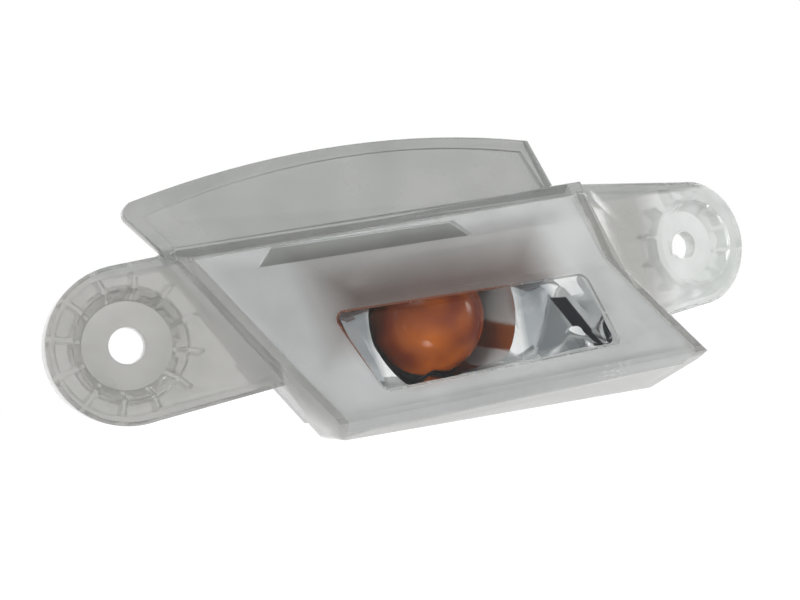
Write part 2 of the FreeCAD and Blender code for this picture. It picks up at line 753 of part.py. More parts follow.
port_cutter = spoked(turned("port_cutter", [
    ("0", "sizes.housing_floor_y - 1"),
    ("sizes.port_radius", "sizes.housing_floor_y - 1"),
    ("sizes.port_radius", collar_back + " + 1"),
    ("0", collar_back + " + 1"),
]), ("sizes.port_radius / 2", "sizes.port_radius + sizes.notch_reach"), "sizes.notch_width",
    ("sizes.housing_floor_y - 1", collar_back + " + 1"), "3", "sizes.lock_turn")
patch_front = "(%s - sizes.vent_patch_thickness)" % vent_back
vent_bore = rod("vent_bore", "sizes.vent_bore_radius", "sizes.vent_x", "sizes.vent_z",
                "sizes.housing_floor_y - 1", vent_back)
vent_recess = rod("vent_recess", "sizes.vent_patch_radius", "sizes.vent_x", "sizes.vent_z",
                  patch_front, vent_back + " + 1")
housing_cuts = join("housing_cuts", port_cutter, vent_bore, vent_recess)
keep("rear_housing", cut("housing", join("housing_whole", *housing_parts), housing_cuts))
vent_patch = rod("vent_disc", "sizes.vent_patch_radius", "sizes.vent_x", "sizes.vent_z",
                 patch_front, vent_back)
keep("vent_patch", vent_patch)


# Bulb: a hollow amber ball with its stem, a filament on two supports and a bayonet cap

neck = "(sizes.cap_radius - sizes.cap_sheet)"
inner_neck = "(%s - sizes.glass_wall)" % neck
inner_ball = "(sizes.ball_radius - sizes.glass_wall)"
glass_floor = "(sizes.glass_end_y - sizes.glass_foot_thickness)"


def ball_curve(radius, neck_radius, steps):
    """A ball's corners from its tip to where it meets the neck, on a circle about the ball's middle."""
    sweep = "(180 deg - asin(%s / %s))" % (neck_radius, radius)
    corners = []
    for step in range(1, steps + 1):
        turn = "(%g * %s)" % (step / steps, sweep)
        corners.append(("%s * sin(%s)" % (radius, turn), "sizes.ball_y - %s * cos(%s)" % (radius, turn)))
    return corners


bulb_glass = turned("glass", [
    ("0", "sizes.ball_y - sizes.ball_radius"),
    *ball_curve("sizes.ball_radius", neck, 5),
    (neck, "sizes.glass_end_y"),
    ("0", "sizes.glass_end_y"),
    ("0", "sizes.stem_front_y"),
    ("sizes.stem_radius", "sizes.stem_front_y"),
    ("sizes.stem_radius", glass_floor),
    (inner_neck, glass_floor),
    *reversed(ball_curve(inner_ball, inner_neck, 3)),
    ("0", "sizes.ball_y - %s" % inner_ball),
])
keep("bulb_glass", bulb_glass)
support_pair = []
for side, sign in (("left", -1), ("right", 1)):
    x = "sizes.bulb_x + %d * sizes.filament_length / 2" % sign
    support_pair.append(rod("support_" + side, "sizes.support_radius", x, "sizes.bulb_z",
                            "sizes.filament_y - 1", "sizes.stem_front_y"))
supports = document.addObject("Part::Compound", "supports")
supports.Links = support_pair
document.recompute()
keep("bulb_supports", supports)
coil = document.addObject("Part::Cylinder", "coil")
coil.Placement = about_y(90)
bind(coil, Radius="sizes.filament_radius", Height="sizes.filament_length")
bind(coil, Placement__Base__x="sizes.bulb_x - sizes.filament_length / 2")
bind(coil, Placement__Base__y="sizes.filament_y", Placement__Base__z="sizes.bulb_z")
keep("bulb_filament", cut("filament", coil, join("support_tool", *support_pair)))

cap_shell = turned("cap_shell", [
    (neck, "sizes.cap_front_y"),
    ("sizes.cap_radius", "sizes.cap_front_y"),
    ("sizes.cap_radius", "sizes.cap_back_y"),
    ("sizes.insulator_radius", "sizes.cap_back_y"),
    ("sizes.insulator_radius", "sizes.cap_back_y - sizes.cap_sheet"),
    (neck, "sizes.cap_back_y - sizes.cap_sheet"),
])
pins = []
for name, turn in (("first", 0.0), ("second", 150.0)):
    locking_pin = document.addObject("Part::Cylinder", "pin_" + name)
    bind(locking_pin, Radius="sizes.pin_radius", Height="sizes.pin_reach + sizes.cap_sheet")
    locking_pin.Placement = about_y(turn)
    bind(locking_pin, Placement__Base__x="sizes.bulb_x + %s * sin(%g)" % (neck, turn))
    bind(locking_pin, Placement__Base__y="sizes.pin_y")
    bind(locking_pin, Placement__Base__z="sizes.bulb_z + %s * cos(%g)" % (neck, turn))
    pins.append(locking_pin)
keep("bulb_cap", join("cap", cap_shell, *pins))
insulator_back = "(sizes.cap_back_y + sizes.insulator_height)"
button_back = "(%s + sizes.button_height)" % insulator_back
insulator = rod("insulator", "sizes.insulator_radius", "sizes.bulb_x", "sizes.bulb_z",
                "sizes.cap_back_y - sizes.cap_sheet", insulator_back)
keep("bulb_insulator", insulator)
button = rod("button", "sizes.button_radius", "sizes.bulb_x", "sizes.bulb_z", insulator_back, button_back)
keep("bulb_button", button)


# Bulb holder: a quarter-turn plug with three lugs, a flange on a seal ring and a plug socket below

plug_radius = "(sizes.port_radius - sizes.plug_gap)"
flange_front = "(%s + sizes.seal_squeeze_gap + sizes.seal_height)" % collar_back
flange_back = "(%s + sizes.holder_flange_thickness)" % flange_front
socket_radius = "(sizes.cap_radius + sizes.socket_gap)"
socket_floor = "(%s + sizes.contact_thickness)" % button_back
lug_back = "(sizes.housing_floor_y - sizes.lug_gap)"
holder_core = spoked(turned("holder_core", [
    (plug_radius + " - sizes.plug_wall", "sizes.plug_front_y"),
    (plug_radius, "sizes.plug_front_y"),
    (plug_radius, flange_front),
    ("sizes.holder_flange_radius", flange_front),
    ("sizes.holder_flange_radius", flange_back),
    ("sizes.holder_body_radius", flange_back),
    ("sizes.holder_body_radius", "sizes.holder_end_y"),
    ("0", "sizes.holder_end_y"),
    ("0", socket_floor),
    (socket_radius, socket_floor),
    (socket_radius, "sizes.socket_front_y"),
    (plug_radius + " - sizes.plug_wall", "sizes.socket_front_y"),
]), (plug_radius + " - sizes.plug_wall / 2", plug_radius + " + sizes.lug_reach"), "sizes.lug_width",
    (lug_back + " - sizes.lug_thickness", lug_back), "3", "0")
shroud_foot = "(sizes.bulb_z - sizes.holder_body_radius - sizes.shroud_length)"
shroud_front = "(sizes.holder_end_y - sizes.shroud_depth)"
half_shroud = "sizes.shroud_width / 2"
shroud = block("shroud", ("sizes.bulb_x - " + half_shroud, "sizes.bulb_x + " + half_shroud),
               (shroud_front, "sizes.holder_end_y"), (shroud_foot, "sizes.bulb_z - %s - 1" % socket_radius))
shroud_space = block("shroud_space",
                     ("sizes.bulb_x - %s + sizes.shroud_wall" % half_shroud,
                      "sizes.bulb_x + %s - sizes.shroud_wall" % half_shroud),
                     (shroud_front + " + sizes.shroud_wall", "sizes.holder_end_y - sizes.shroud_wall"),
                     (shroud_foot + " - 1", "sizes.bulb_z - sizes.holder_body_radius - sizes.shroud_wall"))
grips = []
for side, sign in (("left", -1), ("right", 1)):
    near = "sizes.bulb_x + %d * (sizes.holder_body_radius - 1)" % sign
    far = "sizes.bulb_x + %d * (sizes.holder_body_radius + sizes.grip_reach)" % sign
    limits = (far, near) if sign < 0 else (near, far)
    half_grip = "sizes.grip_thickness / 2"
    grips.append(block("grip_" + side, limits, (flange_back + " - 1", flange_back + " + sizes.grip_length"),
                       ("sizes.bulb_z - " + half_grip, "sizes.bulb_z + " + half_grip)))

# Contacts: a flat blade each in the plug socket, one to the bulb's button and one to its cap
blade_end = shroud_foot + " + 2"
blade_half = "sizes.contact_width / 2"
left_blade = "(sizes.bulb_x - sizes.contact_spacing / 2)"
right_blade = "(sizes.bulb_x + sizes.contact_spacing / 2)"
centre_contact = join(
    "centre_strip",
    block("centre_blade", (left_blade + " - " + blade_half, left_blade + " + " + blade_half),
          (button_back, socket_floor), (blade_end, "sizes.bulb_z + sizes.button_radius")),
    block("centre_pad", (left_blade, "sizes.bulb_x + sizes.button_radius"), (button_back, socket_floor),
          ("sizes.bulb_z - sizes.button_radius", "sizes.bulb_z + sizes.button_radius")))
leaf_top = "(sizes.bulb_z - sqrt(sizes.cap_radius^2 - (sizes.contact_spacing / 2 - %s)^2))" % blade_half
side_contact = join(
    "side_strip",
    block("side_blade", (right_blade + " - " + blade_half, right_blade + " + " + blade_half),
          (button_back, socket_floor), (blade_end, leaf_top)),
    block("side_leaf", (right_blade + " - " + blade_half, right_blade + " + " + blade_half),
          ("sizes.pin_y + 1", socket_floor), (leaf_top + " - sizes.contact_thickness", leaf_top)))
pin_slots = []
for name, turn in (("first", 0.0), ("second", 150.0)):
    pin_slot = document.addObject("Part::Box", "pin_slot_" + name)
    slot_width = "(2 * sizes.pin_radius + 2 * sizes.socket_gap)"
    slot_reach = "(sizes.cap_radius + sizes.pin_reach + sizes.socket_gap)"
    bind(pin_slot, Length=slot_width, Height=slot_reach)
    bind(pin_slot, Width="sizes.pin_y + %s / 2 - sizes.socket_front_y + 1" % slot_width)
    pin_slot.Placement = about_y(turn)
    bind(pin_slot, Placement__Base__x="sizes.bulb_x - %s / 2 * cos(%g)" % (slot_width, turn))
    bind(pin_slot, Placement__Base__y="sizes.socket_front_y - 1")
    bind(pin_slot, Placement__Base__z="sizes.bulb_z + %s / 2 * sin(%g)" % (slot_width, turn))
    pin_slots.append(pin_slot)
holder_whole = join("holder_whole", holder_core, shroud, *grips)
holder_cuts = join("holder_cuts", shroud_space, centre_contact, side_contact, *pin_slots)
keep("bulb_holder", cut("holder", holder_whole, holder_cuts))
keep("centre_contact", centre_contact)
keep("side_contact", side_contact)

seal_middle = "((sizes.port_radius + sizes.notch_reach + sizes.port_collar_radius) / 2)"
seal = turned("seal", [
    (seal_middle + " - sizes.seal_width / 2", flange_front + " - sizes.seal_height"),
    (seal_middle + " + sizes.seal_width / 2", flange_front + " - sizes.seal_height"),
    (seal_middle + " + sizes.seal_width / 2", flange_front),
    (seal_middle + " - sizes.seal_width / 2", flange_front),
])
keep("holder_seal", seal)


document.recompute()
for item in document.Objects:
    bad = [word for word in item.State if word in ("Invalid", "Error")]
    if bad:
        raise RuntimeError("%s is %s" % (item.Name, bad))
for node, solid in FINISHED:
    shape = solid.Shape
    if shape.isNull() or not shape.isValid() or shape.Volume <= 0:
        raise RuntimeError("%s has no sound shape" % node)
    print(node, len(shape.Solids), round(shape.Volume), shape.BoundBox)
    shape.exportStep("parts/%s.step" % node)
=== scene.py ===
import json
import math

import bmesh
import bpy
from mathutils import Matrix, Vector

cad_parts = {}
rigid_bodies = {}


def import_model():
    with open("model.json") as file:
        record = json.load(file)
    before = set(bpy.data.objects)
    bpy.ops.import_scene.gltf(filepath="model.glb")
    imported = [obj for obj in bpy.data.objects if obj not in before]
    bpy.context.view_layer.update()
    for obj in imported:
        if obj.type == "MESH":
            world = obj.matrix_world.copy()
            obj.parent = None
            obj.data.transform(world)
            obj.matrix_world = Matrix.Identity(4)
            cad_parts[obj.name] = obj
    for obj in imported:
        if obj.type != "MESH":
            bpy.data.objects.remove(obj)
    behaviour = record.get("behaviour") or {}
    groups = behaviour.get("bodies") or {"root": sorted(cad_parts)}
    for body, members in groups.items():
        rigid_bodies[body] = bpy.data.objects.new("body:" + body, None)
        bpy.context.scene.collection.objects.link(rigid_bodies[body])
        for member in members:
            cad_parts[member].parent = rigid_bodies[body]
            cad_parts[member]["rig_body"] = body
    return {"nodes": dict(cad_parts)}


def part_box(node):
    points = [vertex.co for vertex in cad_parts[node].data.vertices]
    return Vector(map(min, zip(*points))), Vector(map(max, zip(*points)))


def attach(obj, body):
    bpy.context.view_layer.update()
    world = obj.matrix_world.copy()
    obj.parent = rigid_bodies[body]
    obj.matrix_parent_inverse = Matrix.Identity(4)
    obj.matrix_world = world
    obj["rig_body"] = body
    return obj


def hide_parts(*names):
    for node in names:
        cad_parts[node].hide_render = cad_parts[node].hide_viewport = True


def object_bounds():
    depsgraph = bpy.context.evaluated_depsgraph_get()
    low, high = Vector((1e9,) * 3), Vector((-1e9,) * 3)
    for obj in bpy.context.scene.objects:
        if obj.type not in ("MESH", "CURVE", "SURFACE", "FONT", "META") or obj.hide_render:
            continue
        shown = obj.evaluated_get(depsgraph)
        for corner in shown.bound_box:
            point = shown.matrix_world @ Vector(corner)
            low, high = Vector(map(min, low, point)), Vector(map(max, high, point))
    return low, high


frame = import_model()
cad_low, cad_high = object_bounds()
nodes = frame["nodes"]


# Reflector: a tray moulded in plastic and metallised in a vacuum, so that it mirrors the bulb.
# Its bowl goes round the bulb, a slanted facet closes its right end, and two staked posts hold it.
# Painted reflections: the flats are darker, the bowl's right flank dull grey, the facet's foot a dark bar.

# Most of a noise pattern lies between these two values.
noise_low = 0.3
noise_high = 0.7


def new_finish(name):
    """A node material with its shader and the place on the piece that its patterns read."""
    finish = bpy.data.materials.new(name)
    finish.use_nodes = True
    tree = finish.node_tree
    shader = tree.nodes["Principled BSDF"]
    place = tree.nodes.new("ShaderNodeTexCoord").outputs["Object"]
    return finish, tree, shader, place


def mottle(tree, place, patch, detail=3.0):
    """Cloudy noise with patches of about the given size in metres."""
    noise = tree.nodes.new("ShaderNodeTexNoise")
    noise.inputs["Scale"].default_value = 1.0 / patch
    noise.inputs["Detail"].default_value = detail
    tree.links.new(place, noise.inputs["Vector"])
    return noise.outputs["Fac"]


def spread(tree, pattern, low, high, start=noise_low, end=noise_high):
    """Turn a pattern, from its start to its end, into numbers from low to high."""
    span = tree.nodes.new("ShaderNodeMapRange")
    span.inputs["From Min"].default_value = start
    span.inputs["From Max"].default_value = end
    span.inputs["To Min"].default_value = low
    span.inputs["To Max"].default_value = high
    tree.links.new(pattern, span.inputs["Value"])
    return span.outputs["Result"]


def tint(tree, pattern, dark, light):
    """Turn a pattern into a colour from dark to light."""
    ramp = tree.nodes.new("ShaderNodeValToRGB")
    ramp.color_ramp.elements[0].position = noise_low
    ramp.color_ramp.elements[1].position = noise_high
    ramp.color_ramp.elements[0].color = (*dark, 1.0)
    ramp.color_ramp.elements[1].color = (*light, 1.0)
    tree.links.new(pattern, ramp.inputs["Fac"])
    return ramp.outputs["Color"]


def blended(tree, how, mask, first, second):
    """Mix two colours by a mask; the second is a pattern or a tone that is the same all over."""
    mix = tree.nodes.new("ShaderNodeMix")
    mix.data_type = "RGBA"
    mix.blend_type = how
    tree.links.new(mask, mix.inputs[0])
    tree.links.new(first, mix.inputs[6])
    if isinstance(second, tuple):
        mix.inputs[7].default_value = (*second, 1.0)
    else:
        tree.links.new(second, mix.inputs[7])
    return mix.outputs[2]


def joined(tree, how, first, second):
    """One number from two, such as their product; the second is a pattern or a plain number."""
    result = tree.nodes.new("ShaderNodeMath")
    result.operation = how
    tree.links.new(first, result.inputs[0])
    if isinstance(second, float):
        result.inputs[1].default_value = second
    else:
        tree.links.new(second, result.inputs[1])
    return result.outputs[0]


def distance_along(tree, place, direction):
    """How far a place lies along a direction."""
    reach = tree.nodes.new("ShaderNodeVectorMath")
    reach.operation = "DOT_PRODUCT"
    reach.inputs[1].default_value = direction
    tree.links.new(place, reach.inputs[0])
    return reach.outputs["Value"]


def field(tree, place, corners, fade_inside, fade_outside=0.0):
    """One inside an outline in the front plane and zero outside it, with a soft edge in metres.

    The corners are (x, z) and run clockwise from the top left."""
    nearest = None
    for first, last in zip(corners, corners[1:] + corners[:1]):
        along = (Vector(last) - Vector(first)).normalized()
        inward = Vector((along.y, 0.0, -along.x))
        line = inward.x * first[0] + inward.z * first[1]
        distance = joined(tree, "SUBTRACT", distance_along(tree, place, inward), line)
        nearest = joined(tree, "MINIMUM", nearest, distance) if nearest else distance
    return spread(tree, nearest, 0.0, 1.0, -fade_outside, fade_inside)


def relief(tree, shader, pattern, depth, strength=1.0):
    """Raise and sink the surface by a pattern, up to a depth in metres."""
    bump = tree.nodes.new("ShaderNodeBump")
    bump.inputs["Strength"].default_value = strength
    bump.inputs["Distance"].default_value = depth
    tree.links.new(pattern, bump.inputs["Height"])
    tree.links.new(bump.outputs["Normal"], shader.inputs["Normal"])


def dress(node, finish):
    """Give a CAD piece a finish."""
    nodes[node].material_slots[0].material = finish


flat_top = 0.0080
flat_bottom = -0.0196
right_flat = [(0.0150, flat_top), (0.0205, flat_top), (0.0318, flat_bottom), (0.0150, flat_bottom)]
left_flat = [(-0.0330, flat_top), (-0.0190, flat_top), (-0.0190, flat_bottom), (-0.0280, flat_bottom)]
flat_fade = 0.0020
# Painted reflection: the mirror's flats are drawn darker, as if a darker room showed in them.
flat_painted_reflection = (0.50, 0.52, 0.54)
flank_left = 0.0060
flank_right = 0.0152
flank_top = 0.0080
flank_bottom = -0.0240
high_flank = [(flank_left, flank_top), (flank_right, flank_top), (flank_right, -0.0127),
              (flank_left, -0.0029)]
low_flank = [(flank_left, -0.0110), (flank_right, -0.0190), (flank_right, flank_bottom),
             (flank_left, flank_bottom)]
flank_fade = 0.0012
# Painted reflection: the bowl's right flank, above and below the amber reflection, is drawn dull and grey.
flank_painted_reflection = (0.38, 0.39, 0.39)
# Painted reflection: a near-black bar at the facet's foot stands for a dark reflection in the mirror.
dark_bar_corners = [(0.0240, -0.0066), (0.0285, -0.0072), (0.0368, -0.0200), (0.0323, -0.0194)]
dark_bar_fade = 0.0003
painted_dark_bar = (0.016, 0.019, 0.026)

mirror_finish, tree, shader, place = new_finish("metallised_plastic")
silver = tint(tree, mottle(tree, place, 0.006), (0.82, 0.83, 0.84), (0.92, 0.92, 0.92))
# The flats, the flank and the bar below are painted reflections in the mirror's colour.
for flat in (right_flat, left_flat):
    silver = blended(tree, "MULTIPLY", field(tree, place, flat, flat_fade), silver, flat_painted_reflection)
grey_reflection_high = field(tree, place, high_flank, flank_fade)
grey_reflection_low = field(tree, place, low_flank, flank_fade)
grey_reflection_mask = joined(tree, "MAXIMUM", grey_reflection_high, grey_reflection_low)
silver = blended(tree, "MIX", grey_reflection_mask, silver, flank_painted_reflection)
silver = blended(tree, "MIX", field(tree, place, dark_bar_corners, dark_bar_fade), silver, painted_dark_bar)
tree.links.new(silver, shader.inputs["Base Color"])
tree.links.new(spread(tree, grey_reflection_mask, 1.0, 0.25, 0.0, 1.0), shader.inputs["Metallic"])
tree.links.new(spread(tree, mottle(tree, place, 0.002), 0.04, 0.12), shader.inputs["Roughness"])
relief(tree, shader, mottle(tree, place, 0.009, 1.0), 0.00008)
dress("reflector", mirror_finish)


# Bulb glass: an amber glass ball blown in one piece with its neck, and a pinched stem inside it.
# The neck is cemented into the cap, and the stem carries the filament's two wires.

glass_low, glass_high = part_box("bulb_glass")
ball_radius = (glass_high.x - glass_low.x) / 2
bulb_axis = (glass_low + glass_high) / 2
ball_middle = Vector((bulb_axis.x, glass_low.y + ball_radius, bulb_axis.z))
neck_radius = 0.0069
neck_start = ball_middle.y + math.sqrt(ball_radius**2 - neck_radius**2)
neck_length = glass_high.y - neck_start
neck_rounding = 0.0016
glass_wall = 0.0007
cut_tolerance = 1e-7
lie_along_bulb = Matrix.Rotation(math.radians(90), 3, "X")

glass = bmesh.new()
bmesh.ops.create_uvsphere(glass, u_segments=72, v_segments=48, radius=ball_radius)
bmesh.ops.rotate(glass, verts=glass.verts, cent=(0, 0, 0), matrix=lie_along_bulb)
bmesh.ops.translate(glass, verts=glass.verts, vec=ball_middle)
bmesh.ops.bisect_plane(glass, geom=glass.verts[:] + glass.edges[:] + glass.faces[:], dist=cut_tolerance,
                       plane_co=(0, neck_start, 0), plane_no=(0, 1, 0), clear_outer=True)
mouth = [edge for edge in glass.edges if edge.is_boundary]
drawn = bmesh.ops.extrude_edge_only(glass, edges=mouth)["geom"]
neck_end = [part for part in drawn if isinstance(part, bmesh.types.BMVert)]
bmesh.ops.translate(glass, verts=neck_end, vec=(0, neck_length, 0))
bmesh.ops.bevel(glass, geom=mouth, offset=neck_rounding, affect="EDGES", segments=4, profile=0.5, material=-1)
bmesh.ops.recalc_face_normals(glass, faces=glass.faces)
bmesh.ops.solidify(glass, geom=glass.faces[:], thickness=glass_wall)

stem_radius = 0.0042
stem_taper = 0.8
stem_front = 0.0128
stem_inset = 0.0004
stem_back = glass_high.y - stem_inset
pinch_length = 0.001
pinch_flatness = 0.35
stem = bmesh.ops.create_cone(glass, cap_ends=True, segments=40, radius1=stem_radius,
                             radius2=stem_radius * stem_taper, depth=stem_back - stem_front)["verts"]
bmesh.ops.rotate(glass, verts=stem, cent=(0, 0, 0), matrix=lie_along_bulb)
bmesh.ops.translate(glass, verts=stem, vec=(bulb_axis.x, (stem_back + stem_front) / 2, bulb_axis.z))
pinched = [vert for vert in stem if vert.co.y < stem_front + pinch_length]
bmesh.ops.scale(glass, verts=pinched, vec=(1.0, 1.0, pinch_flatness), space=Matrix.Translation(-bulb_axis))


def shade_smooth(shape, corner):
    """Shade a shape smoothly, apart from the edges that turn by the corner angle or more."""
    for face in shape.faces:
        face.smooth = True
    for edge in shape.edges:
        edge.smooth = edge.calc_face_angle(0.0) < corner


def put_in_scene(shape, name):
    """Make a finished shape an object of the scene."""
    mesh = bpy.data.meshes.new(name)
    shape.to_mesh(mesh)
    shape.free()
    piece = bpy.data.objects.new(name, mesh)
    bpy.context.scene.collection.objects.link(piece)
    return piece


shade_smooth(glass, math.radians(40))
amber_ball = put_in_scene(glass, "amber_ball")


def axis_of(tree, place, axis):
    """A place's distance along one axis, in metres."""
    axes = tree.nodes.new("ShaderNodeSeparateXYZ")
    tree.links.new(place, axes.inputs["Vector"])
    return axes.outputs[axis]


# Painted shadow: the ball is drawn darker towards its top, as if the lens above it shaded it.
shade_start = -0.0090
shade_end = 0.0010
painted_top_shadow = (0.34, 0.27, 0.40)

amber_finish, tree, shader, place = new_finish("amber_glass")
shader.inputs["Transmission Weight"].default_value = 0.35
shader.inputs["IOR"].default_value = 1.35
shader.inputs["Specular IOR Level"].default_value = 0.3
amber = tint(tree, mottle(tree, place, 0.010, 1.0), (0.24, 0.030, 0.005), (0.72, 0.178, 0.011))
# The ball's top is darkened with a painted shadow.
near_top = spread(tree, axis_of(tree, place, "Z"), 0.0, 1.0, shade_start, shade_end)
amber = blended(tree, "MULTIPLY", near_top, amber, painted_top_shadow)
tree.links.new(amber, shader.inputs["Base Color"])
tree.links.new(spread(tree, mottle(tree, place, 0.003), 0.02, 0.07), shader.inputs["Roughness"])
relief(tree, shader, mottle(tree, place, 0.012, 1.0), 0.0003)
amber_ball.data.materials.append(amber_finish)
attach(amber_ball, "holder")
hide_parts("bulb_glass")


# Filament: a coil of tungsten wire wound on a mandrel and clamped in the two support wires.
# The support wires are nickel and are sealed into the stem.

coil_low, coil_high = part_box("bulb_filament")
coil_middle = (coil_low + coil_high) / 2
wire_radius = 0.00009
coil_radius = (coil_high.y - coil_low.y) / 2 - wire_radius
coil_length = coil_high.x - coil_low.x
coil_turns = 18
steps_per_turn = 14
coil_steps = coil_turns * steps_per_turn

coil = bmesh.new()
wire = bmesh.ops.create_circle(coil, segments=6, radius=wire_radius)["verts"]
bmesh.ops.translate(coil, verts=wire, vec=(coil_low.x, coil_middle.y + coil_radius, coil_middle.z))
bmesh.ops.spin(coil, geom=coil.verts[:] + coil.edges[:], cent=(0, coil_middle.y, coil_middle.z),
               axis=(1, 0, 0), dvec=(coil_length / coil_steps, 0, 0), angle=coil_turns * math.tau,
               steps=coil_steps)
bmesh.ops.holes_fill(coil, edges=[edge for edge in coil.edges if edge.is_boundary])
bmesh.ops.recalc_face_normals(coil, faces=coil.faces)
for face in coil.faces:
    face.smooth = True
filament_coil = put_in_scene(coil, "filament_coil")


def metal_finish(name, dark, light, roughness, patch):
    """Bare metal with a slightly uneven colour and polish."""
    finish, tree, shader, place = new_finish(name)
    shader.inputs["Metallic"].default_value = 1.0
    polish = mottle(tree, place, patch / 3)
    tree.links.new(tint(tree, mottle(tree, place, patch), dark, light), shader.inputs["Base Color"])
    tree.links.new(spread(tree, polish, roughness * 0.7, roughness * 1.3), shader.inputs["Roughness"])
    relief(tree, shader, mottle(tree, place, patch / 5), 0.00004)
    return finish


tungsten = metal_finish("tungsten", (0.20, 0.20, 0.21), (0.30, 0.30, 0.31), 0.4, 0.002)
filament_coil.data.materials.append(tungsten)
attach(filament_coil, "holder")
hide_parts("bulb_filament")
dress("bulb_supports", metal_finish("nickel_wire", (0.46, 0.46, 0.46), (0.58, 0.58, 0.57), 0.25, 0.003))


# Bulb cap: thin brass sheet drawn to a cup, with two pins that lock it in the holder.
# Its end is closed by a black glass insulator with a button of solder on it.

dress("bulb_cap", metal_finish("cap_brass", (0.62, 0.52, 0.32), (0.76, 0.68, 0.47), 0.28, 0.004))
dress("bulb_button", metal_finish("solder", (0.55, 0.55, 0.53), (0.68, 0.68, 0.66), 0.35, 0.002))


def moulded_finish(name, dark, light, roughness, grain):
    """An opaque moulded surface with a fine grain and a slightly uneven colour."""
    finish, tree, shader, place = new_finish(name)
    polish = mottle(tree, place, 0.003)
    tree.links.new(tint(tree, mottle(tree, place, 0.012), dark, light), shader.inputs["Base Color"])
    tree.links.new(spread(tree, polish, roughness * 0.85, roughness * 1.15), shader.inputs["Roughness"])
    relief(tree, shader, mottle(tree, place, grain, 2.0), 0.00006, 0.6)
    return finish


black_glass = moulded_finish("insulator_glass", (0.02, 0.02, 0.025), (0.05, 0.05, 0.055), 0.15, 0.002)
dress("bulb_insulator", black_glass)


# Bulb holder: black moulded plastic with three lugs that lock in the housing after a part turn.
# Two brass strips are pressed into it, and a rubber ring seals its flange against the housing.

moulded_edge = 0.0003
sharp_corner = math.radians(35)
flat_angle = math.radians(1)
merge_distance = 2e-6


def eased_copy(node, name):
    """A copy of a CAD piece with its sharp edges rounded, which stands for that piece."""
    shape = bmesh.new()
    shape.from_mesh(nodes[node].data)
    bmesh.ops.remove_doubles(shape, verts=shape.verts, dist=merge_distance)
    bmesh.ops.dissolve_limit(shape, angle_limit=flat_angle, verts=shape.verts, edges=shape.edges)
    sharp = [edge for edge in shape.edges if edge.calc_face_angle(0.0) > sharp_corner]
    bmesh.ops.bevel(shape, geom=sharp, offset=moulded_edge, offset_type="OFFSET", affect="EDGES", segments=2,
                    profile=0.5, clamp_overlap=True, material=-1)
    shade_smooth(shape, sharp_corner)
    piece = put_in_scene(shape, name)
    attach(piece, nodes[node]["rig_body"])
    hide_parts(node)
    return piece


holder = eased_copy("bulb_holder", "holder_moulding")
black_plastic = moulded_finish("holder_plastic", (0.034, 0.034, 0.036), (0.058, 0.058, 0.061), 0.42, 0.0006)
holder.data.materials.append(black_plastic)
strip_brass = metal_finish("strip_brass", (0.66, 0.50, 0.22), (0.80, 0.66, 0.36), 0.25, 0.003)
dress("centre_contact", strip_brass)
dress("side_contact", strip_brass)
seal_rubber = moulded_finish("seal_rubber", (0.012, 0.012, 0.012), (0.025, 0.025, 0.025), 0.7, 0.0008)
dress("holder_seal", seal_rubber)


# Rear housing: a tub moulded in pale plastic, welded to the lens, with the bulb's port in its floor.
# A porous patch on the vent boss lets the lamp breathe and keeps water out.

housing = eased_copy("rear_housing", "housing_moulding")
pale_plastic = moulded_finish("housing_plastic", (0.62, 0.63, 0.63), (0.72, 0.73, 0.73), 0.45, 0.0008)
housing.data.materials.append(pale_plastic)
dress("vent_patch", moulded_finish("vent_membrane", (0.74, 0.74, 0.72), (0.86, 0.86, 0.84), 0.85, 0.0003))


# Lens: one clear moulding, polished at the ears, the band and the window and etched on the rest of its nose.
# The window is sunk within a rim, the etching has fine level tool lines, and one low corner is scuffed.
# It is welded to the housing's flange. It casts no shadow, so that light gets in to the bulb.

lens = eased_copy("outer_lens", "lens_moulding")
lens.visible_shadow = False

window_corners = [(-0.0308, -0.0008), (0.0304, -0.0023), (0.0290, -0.0186), (-0.0245, -0.0180)]
window_rounding = 0.0020
window_rim = 0.0004
window_sink = 0.0002
front_behind = -0.0095
front_bottom = -0.024
front_top = 0.001
least_facing = 0.5
window_material = 1
rim_material = 2


def rounded_lines(corners, radius, steps=4):
    """Points and inward directions of the lines round an outline whose corners are rounded.

    The corners are (x, z) and run clockwise from the top left."""
    lines = []
    count = len(corners)
    for index in range(count):
        before, here, after = (Vector(corners[(index + shift) % count]) for shift in (-1, 0, 1))
        arriving = (here - before).normalized()
        leaving = (after - here).normalized()
        turn = arriving.angle_signed(leaving)
        bisector = (leaving - arriving).normalized()
        middle = here + bisector * radius / math.cos(turn / 2)
        first_inward = Vector((arriving.y, -arriving.x))
        for step in range(steps + 1):
            inward = first_inward.copy()
            inward.rotate(Matrix.Rotation(-turn * step / steps, 2))
            lines.append((middle - inward * radius, inward))
    return lines


shape = bmesh.new()
shape.from_mesh(lens.data)
front = []
for face in shape.faces:
    middle = face.calc_center_median()
    faces_front = abs(face.normal.y) > least_facing
    if faces_front and middle.y < front_behind and front_bottom < middle.z < front_top:
        front.append(face)
front = bmesh.ops.triangulate(shape, faces=front)["faces"]
for place_on_line, inward in rounded_lines(window_corners, window_rounding):
    parts = set(front)
    for face in front:
        parts.update(face.verts)
        parts.update(face.edges)
    direction = Vector((inward.x, 0.0, inward.y))
    origin = Vector((place_on_line.x, 0.0, place_on_line.y))
    split = bmesh.ops.bisect_plane(shape, geom=list(parts), dist=cut_tolerance, plane_co=origin,
                                   plane_no=direction)["geom"]
    pieces = {part for part in split if isinstance(part, bmesh.types.BMFace)}
    front = [face for face in pieces if (face.calc_center_median() - origin).dot(direction) > 0]
for face in front:
    face.material_index = window_material
outer_faces = [face for face in front if face.normal.y < 0]
rim = bmesh.ops.inset_region(shape, faces=outer_faces, thickness=window_rim, depth=-window_sink,
                             use_even_offset=True, use_boundary=True)["faces"]
for face in rim:
    face.material_index = rim_material
